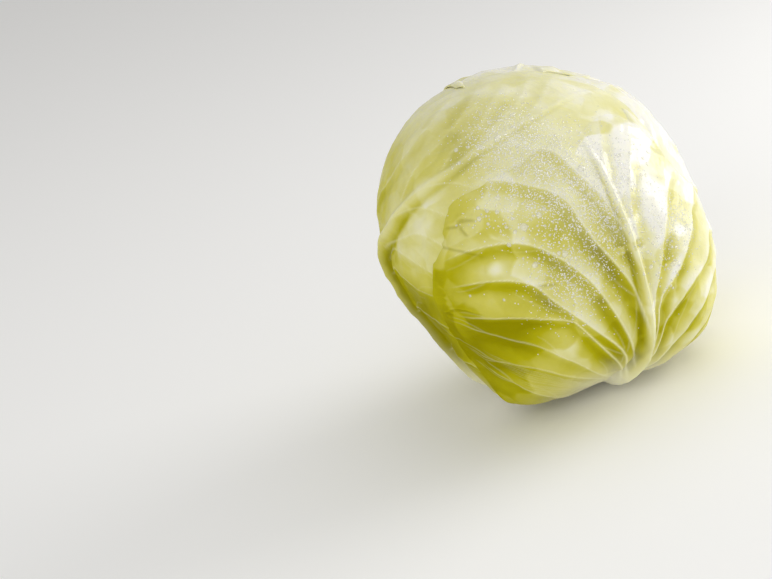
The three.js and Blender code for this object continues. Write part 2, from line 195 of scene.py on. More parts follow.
leafLeft = {
    "node": "leaf_left",
    "azimuth": -65,
    "midrib": [
        (15, -6), (60, -15), (92, -19), (106, -15), (117, -1), (136, 19),
        (147, 25), (160, 29), (180, 29), (198, 22), (222, 14),
    ],
    "leftSide": [(25, -40), (50, -58), (85, -64), (120, -62), (150, -54), (168, -44)],
    "rightSide": [(30, 26), (60, 32), (100, 38), (130, 44), (160, 53), (196, 56)],
    "leftTop": [(211, -8), (188, -28), (168, -44)],
    "rightTop": [(220, 36), (196, 56)],
    "rib": (4.0, 6.5),
    "laterals": [
        [(108, -16), (118, -23), (129, -11), (139, -3), (148, 0), (156, -2), (164, -6)],
        [(120, 1), (128, 4), (138, 8), (146, 11), (155, 11), (163, 8), (177, -6)],
        [(134, 17), (144, 18), (156, 20), (168, 14), (180, 4)],
        [(148, 25), (160, 24), (174, 20), (188, 6)],
        [(168, 29), (180, 24), (192, 12), (200, 2)],
        [(104, -15), (108, -9), (112, 5), (115, 14), (113, 24), (108, 34)],
        [(100, -16), (106, -8), (107, 2), (104, 13), (100, 24)],
        [(94, -18), (99, -10), (97, -1), (94, 8), (92, 20)],
        [(76, -17), (82, -8), (82, 4), (77, 18)],
        [(114, -5), (122, 8), (124, 19), (122, 32)],
        [(120, 3), (130, 14), (135, 24), (136, 36)],
        [(150, 27), (158, 34), (164, 44)],
        [(92, -20), (106, -34), (122, -44), (138, -48)],
        [(74, -18), (90, -38), (108, -52)],
        [(56, -14), (70, -36), (88, -54)],
        [(56, -14), (60, 4), (56, 24)],
    ],
    "veinStrength": 0.42,
    "ribPaleness": 0.55,
    "ribFade": (0.40, 0.62, 0.65),   # share of the length where it starts and ends, and how much goes
    "grooveSide": -1,
    # lighter and darker spots, partly the tissue's own tone, partly painted light and shade
    "tones": [
        (70, -8, 18, 22, -0.5), (90, 6, 9, 16, -0.3), (108, 12, 12, 14, 0.22), (148, 16, 20, 14, -0.34),
        (124, 15, 8, 8, 0.2),
    ],
    "cells": (400, 88),
    "seed": 5,
}

leafRight = {
    "node": "leaf_right",
    "azimuth": 110,
    "midrib": [(16, 0), (60, 4), (110, 4), (163, 0)],
    "leftSide": [(30, -38), (60, -58), (95, -66), (125, -61), (141, -46)],
    "rightSide": [(30, 36), (70, 50), (110, 50), (150, 36)],
    "leftTop": [(158, -9), (150, -16), (143, -24), (140, -34), (141, -46)],
    "rightTop": [(160, 20), (150, 36)],
    "rib": (3.4, 6.5),
    "laterals": {"count": 6, "spread": 44, "sweep": 34},
    "merged": {-1: 0.55},
    "mergedTop": {-1: 1.0, 1: 1.0},
    "cells": (240, 104),
    "seed": 7,
}

leafBack = {
    "node": "leaf_back",
    "azimuth": 165,
    "midrib": [(16, 0), (60, -4), (110, -2), (150, -2), (179, -2)],
    "leftSide": [(30, -34), (70, -48), (110, -48), (135, -38), (152, -28), (163, -20)],
    "rightSide": [(30, 36), (70, 54), (110, 56), (140, 40), (160, 26), (180, 16)],
    "leftTop": [(174, -9), (168, -13), (163, -20)],
    "rightTop": [(182, 4), (185, 9), (180, 16)],
    "rib": (3.8, 7.0),
    "laterals": {"count": 8, "spread": 42, "sweep": 34},
    "merged": {-1: 0.8},
    "mergedTop": {-1: 1.0, 1: 0.7},
    "cells": (300, 110),
    "seed": 11,
}

leafFront = {
    "node": "leaf_front",
    "azimuth": 25,
    "midrib": [(16, -3), (40, -4), (54, -1), (74, 0), (99, 1), (123, 2), (134, 3), (146, 7)],
    "leftSide": [
        (14, -34), (31, -56), (43, -65), (62, -70), (80, -72), (102, -72), (127, -64), (138, -57),
        (146, -43),
    ],
    "rightSide": [(22, 32), (45, 46), (65, 58), (90, 66), (112, 64)],
    "leftTop": [(144, -8), (143, -20), (147, -36), (146, -43)],
    "rightTop": [(151, 21), (147, 29), (139, 33), (130, 35), (123, 38), (117, 43), (112, 52), (112, 64)],
    "rib": (4.5, 6.0),
    "ribFade": (0.78, 1.0, 1.0),
    "laterals": [
        [(22, -5), (32, -8), (41, -12), (49, -26), (54, -39), (51, -53), (47, -64)],
        [(24, -4), (34, -6), (43, -11), (58, -25), (68, -40), (72, -56), (73, -70)],
        [(30, -5), (42, -6), (53, -9), (71, -20), (77, -24), (80, -34), (82, -50), (80, -66)],
        [(38, -4), (50, -6), (61, -9), (72, -17), (86, -28), (95, -34), (101, -46), (104, -64)],
        [(46, -3), (54, -4), (63, -6), (78, -11), (94, -18), (110, -31), (117, -46), (122, -62)],
        [(60, -1), (68, -1), (77, -2), (86, -4), (103, -11), (118, -14), (128, -22), (143, -36)],
        [(84, 1), (92, 0), (100, 0), (112, -2), (123, -6), (134, -9), (142, -15)],
        [(112, 2), (120, 3), (128, 6), (138, 12), (146, 18)],
        [(92, 3), (100, 4), (109, 6), (121, 13), (132, 22)],
        [(52, 0), (60, 0), (67, 1), (79, 4), (90, 10), (100, 17), (110, 27), (114, 38)],
        [(46, 0), (54, 1), (64, 3), (76, 6), (83, 16), (90, 26), (100, 40), (108, 56)],
        [(38, 0), (48, 2), (59, 4), (68, 8), (74, 18), (76, 31), (86, 52)],
        [(32, 0), (42, 4), (53, 9), (61, 19), (66, 32), (70, 52)],
        [(28, 2), (36, 6), (44, 13), (50, 24), (54, 40)],
        [(24, -6), (28, -14), (34, -28), (40, -42), (41, -56)],
    ],
    "creases": [
        [(136, -53), (131, -48), (132, -46), (129, -42)],
        [(132, -47), (130, -44), (127, -41)],
        [(131, -47), (127, -47), (123, -46)],
        [(134, -60), (124, -54), (120, -51), (116, -48), (110, -43)],
        [(94, -33), (93, -29), (92, -25)],
        [(74, -72), (84, -66), (86, -60), (84, -56), (83, -51)],
        [(44, -67), (37, -62), (33, -59), (34, -56)],
        [(60, -72), (50, -68), (42, -64)],
        [(143, 12), (146, 16), (149, 20)],
        [(146, 17), (148, 15), (150, 17)],
        [(83, -71), (80, -68), (81, -65)],
        [(80, -72), (76, -69), (73, -69)],
    ],
    # lighter and darker spots, partly the tissue's own tone, partly painted light and shade
    "tones": [
        (45, -60, 24, 14, -0.2), (71, -45, 8, 8, -0.25), (94, -35, 7, 6, 0.1), (100, -10, 13, 6, -0.3),
        (92, -52, 9, 8, 0.16), (62, -26, 18, 14, 0.3), (110, -46, 16, 14, 0.2), (144, 13, 3, 3, -0.4),
        (108, 12, 12, 9, 0.3), (38, -42, 9, 12, 0.24), (130, -50, 12, 14, 0.2),
        (50, 12, 12, 12, 0.22), (47, -18, 8, 8, 0.18), (72, 0, 12, 14, 0.12), (79, -28, 7, 7, 0.12),
        (110, -24, 8, 8, -0.15), (108, -42, 7, 7, 0.22), (149, 19, 1.6, 1.6, -0.6),
    ],
    "cells": (270, 150),
    "fans": [(1, 28, (40, 20), (78, 58)), (-1, 14, (30, -30), (58, -58))],
    "merged": {-1: 0.84, 1: 0.2},
    "mergedTop": {-1: 1.0, 1: 1.0},
    "seed": 13,
}

leaves = [leafUnder, leafLeft, leafRight, leafBack, leafFront]


# Where a leaf has no veins of its own listed, they leave the midrib in turn
def plainLaterals(leaf):
    rule = leaf["laterals"]
    midrib = smoothCurve(leaf["midrib"])
    lines = []
    for i in range(rule["count"]):
        for sign in (-1, 1):
            start = midrib(0.12 + 0.72 * (i + (0.4 if sign > 0 else 0)) / rule["count"])
            reach = rule["spread"] * (1 - 0.5 * i / rule["count"])
            lines.append([
                tuple(start),
                (start[0] + 0.5 * rule["sweep"], start[1] + sign * 0.35 * reach),
                (start[0] + 0.95 * rule["sweep"], start[1] + sign * reach),
            ])
    return lines


def basePoints(leaf, share, sign):
    angle = np.radians(blades["claspAngle"] * share)
    lean = (1 - share) * leaf["midrib"][0][1]
    across = sign * blades["baseAngle"] * np.sin(angle) + lean
    return np.stack([blades["baseAngle"] * np.cos(angle), across], -1)


def prepareLeaf(leaf):
    midrib = smoothCurve(leaf["midrib"])
    leaf["halves"] = {}
    for sign, side, top in ((-1, "leftSide", "leftTop"), (1, "rightSide", "rightTop")):
        corner = basePoints(leaf, 1.0, sign)
        leaf["halves"][sign] = (
            midrib,
            smoothCurve([tuple(corner)] + leaf[side]),
            smoothCurve([leaf["midrib"][-1]] + leaf[top]),
        )
    leaf["midribLine"] = lineOnHead(leaf, midrib, 80)
    if isinstance(leaf["laterals"], dict):
        leaf["laterals"] = plainLaterals(leaf)
    t = np.linspace(0, 1, 25)[:-1]
    left, right = leaf["halves"][-1], leaf["halves"][1]
    leaf["outline"] = np.vstack([
        left[1](t), left[2](1 - t), right[2](t), right[1](1 - t),
        basePoints(leaf, 1 - t, 1), basePoints(leaf, t, -1), left[1](np.zeros(1)),
    ])
    leaf["outlineLine"] = toWays(leaf, leaf["outline"]) * head["meanRadius"]


# Points of a leaf from the lines round each half: u from stalk to tip, v from midrib to margin
def leafPoints(leaf, u, v, sign):
    midrib, side, top = leaf["halves"][sign]
    u2, v2 = u[:, None], v[:, None]
    zero, one = np.zeros(1), np.ones(1)
    points = midrib(u) * (1 - v2) + side(u) * v2
    points += basePoints(leaf, v, sign) * (1 - u2) + top(v) * u2
    points -= midrib(zero) * (1 - u2) * (1 - v2) + side(zero) * (1 - u2) * v2
    points -= midrib(one) * u2 * (1 - v2) + side(one) * u2 * v2
    return points


def insideOutline(leaf, ways):
    place = toLeaf(leaf, ways)
    along, across = place[:, 0], place[:, 1]
    inside = np.zeros(len(ways), bool)
    for a, b in zip(leaf["outline"][:-1], leaf["outline"][1:]):
        if a[1] == b[1]:
            continue
        spans = (a[1] > across) != (b[1] > across)
        crossing = a[0] + (b[0] - a[0]) * (across - a[1]) / (b[1] - a[1])
        inside ^= spans & (crossing > along)
    return inside


# 1 over a leaf, falling to 0 beyond its margin
def cover(leaf, ways, start, length):
    inside = insideOutline(leaf, ways)
    result = np.ones(len(ways))
    outside = np.where(~inside)[0]
    distance = distanceToLine(ways[outside] * head["meanRadius"], leaf["outlineLine"])[0]
    result[outside] = 1 - smooth(distance, start, start + length)
    return result


def midribHeight(leaf, ways, widening=0.0):
    height, halfWidth = leaf["rib"]
    distance, share, _ = distanceToLine(ways * head["meanRadius"], leaf["midribLine"])
    height = height * smooth(share, -0.1, 0.16) * (1 - 0.9 * smooth(share, 0.2, 1))
    halfWidth = halfWidth * (1 - blades["ribTaper"] * share)
    return height * (1 - smooth(distance, 0.6 * widening, halfWidth + 1.6 * widening))


# What the leaves under this one add to the head
def layersUnder(index, ways):
    depth = np.zeros(len(ways))
    for leaf in leaves[:index]:
        covered = cover(leaf, ways, blades["drapeStart"], blades["drapeLength"])
        depth += covered * (blades["thickness"] + blades["gap"])
        depth += midribHeight(leaf, ways, blades["imprint"])
    return depth


# The top of what lies under this leaf, for its free margin to cling to
def restUnder(index, ways):
    depth = np.zeros(len(ways))
    for j, leaf in enumerate(leaves[:index]):
        top = layersUnder(j, ways) + blades["thickness"] + midribHeight(leaf, ways)
        depth = np.maximum(depth, cover(leaf, ways, 0.3, 5) * top)
    return depth


def openShare(index, ways, start=2, length=5):
    share = np.ones(len(ways))
    for leaf in leaves[index + 1:]:
        share *= 1 - cover(leaf, ways, start, length)
    return share


# Veins: the side veins, their branches and the fine ones that fan out from the base
veinLook = {   # heights and widths in millimetres, rise as a share of the vein's length
    "side": {
        "crest": 0.55, "crestWidth": 0.65, "shoulder": 2.3, "slopes": 1.0, "rise": 0.26,
        "paleWidth": 0.6, "white": 0.8, "reach": 20, "steps": 24,
    },
    "branch": {
        "crest": 0.14, "crestWidth": 0.5, "shoulder": 0.25, "slopes": 0.42, "rise": 0.06,
        "paleWidth": 0.45, "white": 0.24, "reach": 7, "steps": 8,
    },
    "fan": {
        "crest": 0.3, "crestWidth": 0.55, "shoulder": 0.0, "slopes": 0.42, "rise": 0.06,
        "paleWidth": 0.45, "white": 0.4, "reach": 4, "steps": 8,
    },
}
# Beside a side vein: the sunk valley, painted shade behind the vein and painted light on its tipward side
veinSlopes = {   # widths on either side of a vein, and place and width of what lies beside a side vein
    "tipward": 7.5, "behind": 3.0, "valley": (5.0, 2.6), "valleyDepth": 0.8,
    "shade": (3.4, 3.8), "glow": (0, 4.5),
}
branching = {"spacing": 24.0, "length": 24.0, "spread": 26, "steps": 4, "pairs": 0.4}


def branchesOf(curve, rng):
    branches = []
    ends = curve(np.array([0.0, 1.0]))
    reach = np.linalg.norm(ends[1] - ends[0])
    count = max(2, int(reach / branching["spacing"]))
    for i in range(count):
        share = (i + 0.6 + 0.5 * rng.random()) / (count + 0.6)
        start, ahead = curve(np.array([share, min(share + 0.03, 1.0)]))
        if np.allclose(start, ahead):
            continue
        heading = atan2(ahead[1] - start[1], ahead[0] - start[0])
        for side in ((-1, 1) if rng.random() < branching["pairs"] else (rng.choice([-1, 1]),)):
            turn = heading + side * radians(branching["spread"] * (0.8 + 0.4 * rng.random()))
            size = branching["length"] * (0.6 + 0.7 * rng.random()) * (1.1 - 0.5 * share)
            points, place = [tuple(start)], np.array(start)
            for step in range(branching["steps"]):
                # it leans out at first, then bends back
                turn -= side * radians(6 + 9 * rng.random()) * (1 if step else -0.4)
                place = place + size / branching["steps"] * np.array([cos(turn), sin(turn)])
                points.append(tuple(place))
            branches.append(points)
    return branches


def veinLines(leaf):
    rng = np.random.default_rng(leaf["seed"])
    sides = [smoothCurve(points, 40) for points in leaf["laterals"]]
    lines = [("side", curve) for curve in sides]
    branches = []
    for curve in sides:
        branches += [smoothCurve(points, 12) for points in branchesOf(curve, rng)]
    lines += [("branch", curve) for curve in branches]
    for sign, count, first, last in leaf.get("fans", []):
        for i in range(count):
            part = (i + rng.random()) / count
            start = (19 + 9 * part, sign * (5 + 3 * part))
            end = (first[0] + (last[0] - first[0]) * part, first[1] + (last[1] - first[1]) * part)
            middle = (0.45 * start[0] + 0.55 * end[0] + 3, 0.62 * start[1] + 0.38 * end[1])
            lines.append(("fan", smoothCurve([start, middle, end], 10)))
    return lines


# Unit vectors on the head that point along the leaf and across it
def leafAxes(leaf, place):
    a, c = np.radians(place[:, 0]), np.radians(place[:, 1])
    facing, side = wayAt(leaf["azimuth"], 0), wayAt(leaf["azimuth"] + 90, 0)
    down = np.array([0, 0, -1.0])
    along = -np.sin(a)[:, None] * down + np.cos(a)[:, None] * facing
    meridian = np.cos(a)[:, None] * down + np.sin(a)[:, None] * facing
    across = -np.sin(c)[:, None] * meridian + np.cos(c)[:, None] * side
    return along, across


# The blade rises slowly towards a side vein from the tip's side and drops behind it, with painted light on
# the rising side and painted shade behind
def veinRelief(leaf, ways, place):
    points = ways * head["meanRadius"]
    alongWay, _ = leafAxes(leaf, place)
    strength = leaf.get("veinStrength", 1.0)
    height, pale, valley, shade, glow = (np.zeros(len(points)) for _ in range(5))
    for kind, curve in veinLines(leaf):
        look = veinLook[kind]
        line = lineOnHead(leaf, curve, look["steps"])
        near, distance, share, offset = nearLine(points, line, look["reach"])
        # veins that start near the tip, or in the foot itself, are weaker
        source = curve(np.zeros(1))[0, 0]
        vigour = strength * (1 - 0.6 * smooth(source, 45, 125)) * (0.35 + 0.65 * smooth(source, 22, 34))
        fade = (1 - 0.75 * share) * smooth(share, 0.0, look["rise"]) * vigour
        ends = 1 - smooth(share, 0.85, 1.0)
        slim = 1 - 0.4 * share
        tipward = (offset * alongWay[near]).sum(1) > 0
        crest = look["crest"] * fade * ends * bell(distance, 0, look["crestWidth"] * slim)
        width = np.where(tipward, veinSlopes["tipward"], veinSlopes["behind"]) * look["slopes"]
        shoulder = look["shoulder"] * fade * ends * bell(distance, 0, width)
        height[near] = np.maximum(height[near], crest + shoulder)
        white = look["white"] * (1 - 0.4 * share) * smooth(share, 0.0, 0.1) * ends * sqrt(vigour)
        white = white * bell(distance, 0, look["paleWidth"] * slim)
        pale[near] = np.maximum(pale[near], white)
        # painted shade behind a side vein and painted light on its tipward side
        if kind == "side":
            spread = (1 - 0.6 * share) * smooth(share, 0.02, 0.2) * ends * vigour
            sink = fade * ends * bell(distance, *veinSlopes["valley"]) * ~tipward
            dark = spread * bell(distance, *veinSlopes["shade"]) * ~tipward
            light = spread * bell(distance, *veinSlopes["glow"]) * tipward
            valley[near] = np.maximum(valley[near], sink)
            shade[near] = np.maximum(shade[near], dark)
            glow[near] = np.maximum(glow[near], light)
    return height - veinSlopes["valleyDepth"] * valley, pale, shade, glow


# How much of the midrib still stands at each share of its length
def ribStanding(leaf, share):
    start, end, loss = leaf.get("ribFade", (0.0, 1.0, 0.0))
    return 1 - loss * smooth(share, start, end)


ribLook = {   # heights in millimetres; places and widths as shares of the rib's own width
    "crest": 0.7, "groove": 1.1, "groovePlace": -0.8, "grooveWidth": 0.42,
}


# The groove beside the midrib, on the side given, darkened with painted shade, and the pale rib with a
# painted highlight along its edge on the other
def midribRelief(leaf, ways, place):
    _, acrossWay = leafAxes(leaf, place)
    distance, share, offset = distanceToLine(ways * head["meanRadius"], leaf["midribLine"])
    away = (offset * acrossWay).sum(1) * leaf.get("grooveSide", 1)
    width = leaf["rib"][1] * (1 - blades["ribTaper"] * share)
    standing = ribStanding(leaf, share)
    strength = smooth(share, 0.05, 0.25) * (1 - smooth(share, 0.6, 0.95)) * standing
    groove = strength * bell(away, ribLook["groovePlace"] * width, ribLook["grooveWidth"] * width)
    crest = (1 - 0.7 * share) * smooth(share, 0.0, 0.1) * bell(distance, 0, 0.22 * width + 0.25)
    # painted highlight along the rib's lit edge, over the rib's own pale body
    highlightEdge = bell(away, 0.16 * width, 0.2 * width + 0.3)
    body = 1 - smooth(distance, 0.22 * width, 0.6 * width)
    pale = (0.3 * body + 0.7 * highlightEdge) * (1 - 0.45 * share) * leaf.get("ribPaleness", 1.0)
    pale = pale * (1 - smooth(share, 0.72, 0.98))
    sunk = (1 - standing) * midribHeight(leaf, ways)
    crest = crest * standing
    return ribLook["crest"] * crest - ribLook["groove"] * groove - sunk, pale, groove


def waves(place, rng, count, low, high):
    total = np.zeros(len(place))
    for _ in range(count):
        turn, size, phase = rng.random() * 2 * pi, low + (high - low) * rng.random(), rng.random() * 2 * pi
        total += np.sin((place[:, 0] * cos(turn) + place[:, 1] * sin(turn)) * 2 * pi / size + phase)
    return total / sqrt(count)


def marginWave(u, v):
    nearMargin = np.maximum(smooth(v, 0.82, 1), smooth(u, 0.9, 1)) * smooth(u, 0.2, 0.5)
    return nearMargin * blades["waveHeight"] * np.sin(pi * blades["waveCount"] * (u + 0.6 * v)) ** 2


def deselect():
    if bpy.context.object and bpy.context.object.mode != "OBJECT":
        bpy.ops.object.mode_set(mode="OBJECT")
    bpy.ops.object.select_all(action="DESELECT")


def named(name):
    piece = bpy.context.object
    piece.name = name
    piece.data.name = name
    return piece


def activate(piece):
    deselect()
    piece.select_set(True)
    bpy.context.view_layer.objects.active = piece


def placesIn(piece):
    places = np.empty(len(piece.data.vertices) * 3)
    piece.data.vertices.foreach_get("co", places)
    return places.reshape(-1, 3)


def setPlaces(piece, places):
    piece.data.vertices.foreach_set("co", np.asarray(places, float).ravel())
    piece.data.update()


def addMask(piece, name, values):
    mask = piece.data.attributes.new(name, "FLOAT", "POINT")
    mask.data.foreach_set("value", np.asarray(values, np.float32))


def finishPiece(piece, material, node):
    piece.data.materials.clear()
    piece.data.materials.append(material)
    activate(piece)
    bpy.ops.object.shade_smooth_by_angle(angle=radians(60))
    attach(piece, "root")
    if node:
        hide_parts(node)
    return piece


creaseLook = {   # millimetres
    "grooveDepth": 0.3, "grooveWidth": 0.8, "lipHeight": 0.75, "lipPlace": 1.5, "lipWidth": 1.1, "reach": 6,
}


# Cuts and folds in the blade: a sharp groove with a lip above it, and painted shade in the groove
def creaseRelief(leaf, ways, place):
    look = creaseLook
    height, dark = np.zeros(len(ways)), np.zeros(len(ways))
    alongWay, _ = leafAxes(leaf, place)
    for points in leaf.get("creases", []):
        line = lineOnHead(leaf, smoothCurve(points, 12), 16)
        near, distance, share, offset = nearLine(ways * head["meanRadius"], line, look["reach"])
        side = (offset * alongWay[near]).sum(1)
        fade = smooth(share, 0, 0.25) * (1 - smooth(share, 0.7, 1))
        signed = np.where(side < 0, -distance, distance)
        groove = bell(distance, 0, look["grooveWidth"])
        lip = bell(signed, look["lipPlace"], look["lipWidth"])
        height[near] += fade * (look["lipHeight"] * lip - look["grooveDepth"] * groove)
        # painted shade in the groove
        dark[near] = np.maximum(dark[near], fade * groove)
    return height, dark


# Values worked out on a coarse lattice of the leaf, read between its points by a smooth curve
def overLattice(leaf, function, u, t, steps=84):
    grid = np.linspace(0, 1, steps + 1)
    latticeU, latticeT = (a.ravel() for a in np.meshgrid(grid, grid * 2 - 1, indexing="ij"))
    ways = toWays(leaf, placesOf(leaf, latticeU, latticeT, np.ones(len(latticeU))))
    values = function(ways).reshape(steps + 1, steps + 1)
    rows, shareU = cubicShares(u, steps)
    columns, shareT = cubicShares((t + 1) / 2, steps)
    result = np.zeros(len(u))
    for i in range(4):
        for j in range(4):
            result += shareU[i] * shareT[j] * values[rows[i], columns[j]]
    return result


def cubicShares(x, steps):
    x = np.clip(x, 0, 1) * steps
    cell = np.minimum(x.astype(int), steps - 1)
    f = x - cell
    shares = (
        -0.5 * f + f ** 2 - 0.5 * f ** 3,
        1 - 2.5 * f ** 2 + 1.5 * f ** 3,
        0.5 * f + 2 * f ** 2 - 1.5 * f ** 3,
        -0.5 * f ** 2 + 0.5 * f ** 3,
    )
    return [np.clip(cell + k, 0, steps) for k in (-1, 0, 1, 2)], shares


# Share of the way from midrib to margin for a column of the grid, the columns closer near the midrib
def marginShare(t):
    return np.abs(t) * (0.8 + 0.2 * np.abs(t))


def placesOf(leaf, u, t, ragged):
    v = marginShare(t) * ragged
    place = np.empty((len(u), 2))
    for sign in (-1, 1):
        half = (t < 0) if sign < 0 else (t >= 0)
        place[half] = leafPoints(leaf, u[half], v[half], sign)
    return place


# Where the blade lies when it has no relief of its own, how open to view it is, and what it rests on
def bedUnder(index, ways, u, t, v):
    under = overLattice(leaves[index], lambda w: layersUnder(index, w), u, t)
    rest = overLattice(leaves[index], lambda w: restUnder(index, w), u, t, 120)
    clinging = np.maximum(smooth(v, 0.78, 0.97), smooth(u, 0.86, 0.98)) * smooth(u, 0.12, 0.35)
    under += clinging * np.minimum(rest - under, 0)
    base = headRadius(ways) - head["wrapDepth"]
    opened = np.clip(overLattice(leaves[index], lambda w: openShare(index, w), u, t), 0, 1)
    return base + under, clinging, opened, base + rest


surface = {
    "ragged": 0.004,   # of the way from midrib to margin
    "swell": 0.3, "fineSwell": 0.07, "creased": 0.3, "edgePress": 0.2,   # millimetres
    "edgeLift": 0.25,   # of the margin's wave
    "footAlong": 24, "footReach": (8, 38),   # degrees
    # glow: painted light on the tipward side of a side vein, added to the tone
    "glow": 0.28,   # added to the tone beside a vein
    "wall": 0.0007,   # metres
}


# A leaf: a grid laid over the head in the leaf's outline, raised by its ribs, then given a wall
def makeLeaf(index, material):
    leaf = leaves[index]
    rows, halfColumns = leaf["cells"]
    deselect()
    bpy.ops.mesh.primitive_grid_add(x_subdivisions=2 * halfColumns, y_subdivisions=rows, size=2)
    piece = named(leaf["node"] + "_blade")
    flat = placesIn(piece)
    u, t = (flat[:, 1] + 1) / 2, flat[:, 0]
    rng = np.random.default_rng(leaf["seed"] + 100)
    along = np.stack([u * 100, u * 0], -1)
    ragged = 1 + surface["ragged"] * waves(along, rng, 5, 1.5, 9) * smooth(u, 0.15, 0.4)
    v = marginShare(t)
    place = placesOf(leaf, u, t, ragged)
    ways = toWays(leaf, place)
    bed, clinging, opened, rest = bedUnder(index, ways, u, t, v)
    veins, veinPale, veinShade, veinGlow = veinRelief(leaf, ways, place)
    ribExtra, ribPale, ribShade = midribRelief(leaf, ways, place)
    cuts, cutShade = creaseRelief(leaf, ways, place)
    swell = surface["swell"] * waves(place, rng, 7, 9, 30)
    swell = swell + surface["fineSwell"] * waves(place, rng, 8, 2.5, 7)
    creased = surface["creased"] * (0.5 - np.abs(waves(place, rng, 4, 9, 26)))
    margin = np.maximum(smooth(v, 0.93, 1), smooth(u, 0.965, 1))
    relief = midribHeight(leaf, ways) + ribExtra + cuts
    relief += ((veins + swell + creased) * (1 - 0.85 * margin)) * opened
    lift = surface["edgeLift"] * marginWave(u, v) * opened
    radius = bed + lift - surface["edgePress"] * clinging + blades["thickness"] + relief
    radius += mergedShare(leaf, u, t, v) * (rest - blades["sunkEdge"] - radius)
    setPlaces(piece, (ways * radius[:, None] + np.array([0, 0, head["centreHeight"]])) / 1000)
    fromFoot = np.linalg.norm(place - np.array([surface["footAlong"], leaf["midrib"][0][1]]), axis=1)
    masks = {
        "vein": np.maximum(veinPale, ribPale),
        # painted shade behind the side veins and in the midrib's groove
        "valley": np.maximum(veinShade * (1 - smooth(veinPale, 0.2, 0.8)), ribShade),
        "creaseShade": cutShade,
        "mist": mistOver(ways),
        "foot": 1 - smooth(fromFoot, *surface["footReach"]),
        # tone spots, partly painted light and shade, and painted light beside the veins
        "tone": leafTone(leaf, place) + surface["glow"] * veinGlow,
    }
    for name, values in masks.items():
        addMask(piece, name, values)
    giveWall(piece, surface["wall"])
    print("leaf", leaf["node"], len(piece.data.polygons))
    return finishPiece(piece, material, leaf["node"])


# Where a margin melts into the leaf below it
def mergedShare(leaf, u, t, v):
    sunk = np.zeros(len(u))
    for sign, start in leaf.get("merged", {}).items():
        side = smooth(v, 0.76, 0.98) * smooth(u, start - 0.05, start + 0.03)
        sunk = np.maximum(sunk, side * (t * sign >= 0))
    for sign, reach in leaf.get("mergedTop", {}).items():
        top = smooth(u, 0.88, 0.98) * (1 - smooth(v, reach, reach + 0.08))
        sunk = np.maximum(sunk, top * (t * sign >= 0))
    return sunk


mist = {
    "spots": [   # azimuth, elevation, reach in degrees, density
        (-2, 46, 16, 0.8), (22, 22, 17, 1.0), (4, 2, 13, 0.75), (46, 4, 9, 0.9), (-14, 58, 12, 0.5),
        (8, 34, 18, 0.8),
    ],
    "perSquareDegree": 7.5,
    "width": (0.0004, 0.00095),   # metres
    "seed": 33,
}


def mistOver(ways):
    cloud = np.zeros(len(ways))
    for azimuth, elevation, reach, density in mist["spots"]:
        angle = np.degrees(np.arccos(np.clip(ways @ wayAt(azimuth, elevation), -1, 1)))
        cloud = np.maximum(cloud, density * np.exp(-(angle / reach) ** 4))
    return cloud


# Spots of lighter and darker tone: partly the tissue's own, partly painted light and shade, such as darker
# low on the left and beside the midrib
def leafTone(leaf, place):
    tone = np.zeros(len(place))
    for along, across, reachAlong, reachAcross, amount in leaf.get("tones", []):
        away = ((place[:, 0] - along) / reachAlong) ** 2 + ((place[:, 1] - across) / reachAcross) ** 2
        tone += amount * np.exp(-away)
    return tone


# Second face under the first, with fewer faces since it is never seen
def giveWall(piece, thickness):
    activate(piece)
    first = piece.data.polygons[0]
    if first.normal.dot(first.center - Vector((0, 0, head["centreHeight"] / 1000))) < 0:
        bpy.ops.object.mode_set(mode="EDIT")
        bpy.ops.mesh.select_all(action="SELECT")
        bpy.ops.mesh.flip_normals()
        bpy.ops.object.mode_set(mode="OBJECT")
    outer = len(piece.data.vertices)
    wall = piece.modifiers.new("wall", "SOLIDIFY")
    wall.thickness = thickness
    wall.offset = -1
    bpy.ops.object.modifier_apply(modifier=wall.name)
    inside = piece.vertex_groups.new(name="inside")
    inside.add(list(range(outer, len(piece.data.vertices))), 1.0, "REPLACE")
    fewer = piece.modifiers.new("fewer", "DECIMATE")
    fewer.ratio = 0.53
    fewer.vertex_group = inside.name
    bpy.ops.object.modifier_apply(modifier=fewer.name)
    piece.vertex_groups.clear()


# Materials: inputs are given as values or as the sockets that feed them
def setInputs(tree, node, inputs):
    for place, value in inputs.items():
        if isinstance(value, bpy.types.NodeSocket):
            tree.links.new(value, node.inputs[place])
        else:
            node.inputs[place].default_value = value


def addNode(tree, kind, inputs, **settings):
    node = tree.nodes.new("ShaderNode" + kind)
    for name, value in settings.items():
        setattr(node, name, value)
    setInputs(tree, node, inputs)
    return node


def newMaterial(name):
    material = bpy.data.materials.new(name)
    material.use_nodes = True
    tree = material.node_tree
    tree.nodes.clear()
    shader = addNode(tree, "BsdfPrincipled", {})
    addNode(tree, "OutputMaterial", {"Surface": shader.outputs["BSDF"]})
    return material, tree, shader


def mixColour(tree, factor, first, second):
    return addNode(tree, "Mix", {0: factor, 6: first, 7: second}, data_type="RGBA").outputs[2]


def maths(tree, operation, first, second=0.0):
    return addNode(tree, "Math", {0: first, 1: second}, operation=operation).outputs[0]


def mask(tree, name):
    return addNode(tree, "Attribute", {}, attribute_name=name).outputs["Fac"]


def objectPlace(tree):
    return addNode(tree, "TexCoord", {}).outputs["Object"]


def axesOf(tree, place):
    return addNode(tree, "SeparateXYZ", {0: place}).outputs


def noise(tree, vector, scale, detail=2.0):
    return addNode(tree, "TexNoise", {"Vector": vector, "Scale": scale, "Detail": detail}).outputs


def ramp(tree, value, low, high, bottom=0.0, top=1.0):
    inputs = {"Value": value, "From Min": low, "From Max": high, "To Min": bottom, "To Max": top}
    return addNode(tree, "MapRange", inputs, interpolation_type="SMOOTHSTEP").outputs["Result"]


